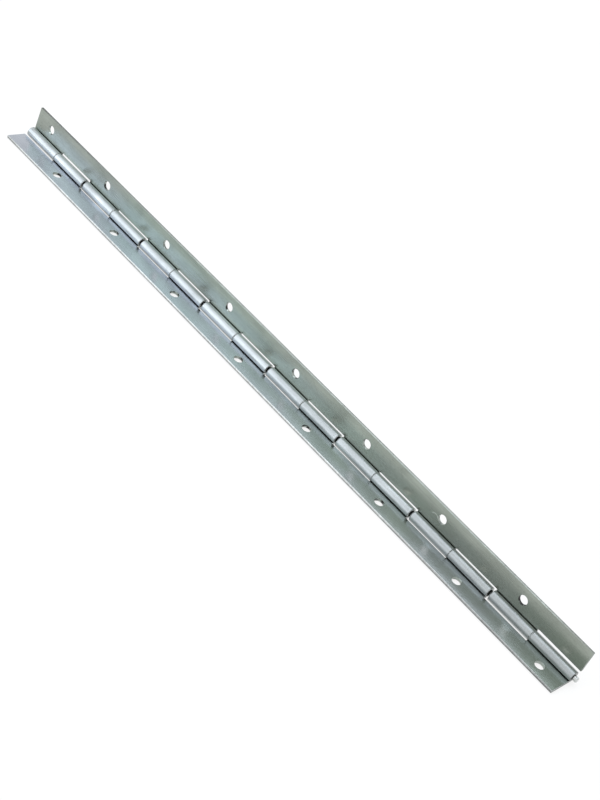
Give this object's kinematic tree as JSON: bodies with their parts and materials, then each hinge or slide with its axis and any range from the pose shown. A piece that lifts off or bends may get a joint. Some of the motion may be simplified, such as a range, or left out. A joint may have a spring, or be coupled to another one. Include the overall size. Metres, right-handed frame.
{
  "type": "piano hinge",
  "caption": "Continuous steel hinge: two narrow stamped leaves with interleaved curled knuckles on one wire pin, with a line of screw holes in each leaf.",
  "frame": {"origin": "on the frame leaf's back face, at the middle of its line of screw holes", "axes": "+X along the pin towards the end where the pin stands out, +Y from the frame leaf's screw holes to the pin, +Z out of the frame leaf's front, up"},
  "size_m": [0.3056, 0.0132, 0.0132],
  "materials": {
    "leaf_steel": "dull grey rolled steel with a soft mottled sheen",
    "pin_steel": "dark drawn wire, bright along its length"
  },
  "bodies": {
    "frame_leaf": {"frame_leaf": "leaf_steel", "hinge_pin": "pin_steel"},
    "door_leaf": {"door_leaf": "leaf_steel"}
  },
  "joints": [
    {"name": "leaf_swing", "type": "hinge", "parent": "frame_leaf", "child": "door_leaf", "pos_m": [0, 0.0066, 0.00211], "axis": [1, 0, 0], "range_deg": [-187, 99]}
  ]
}
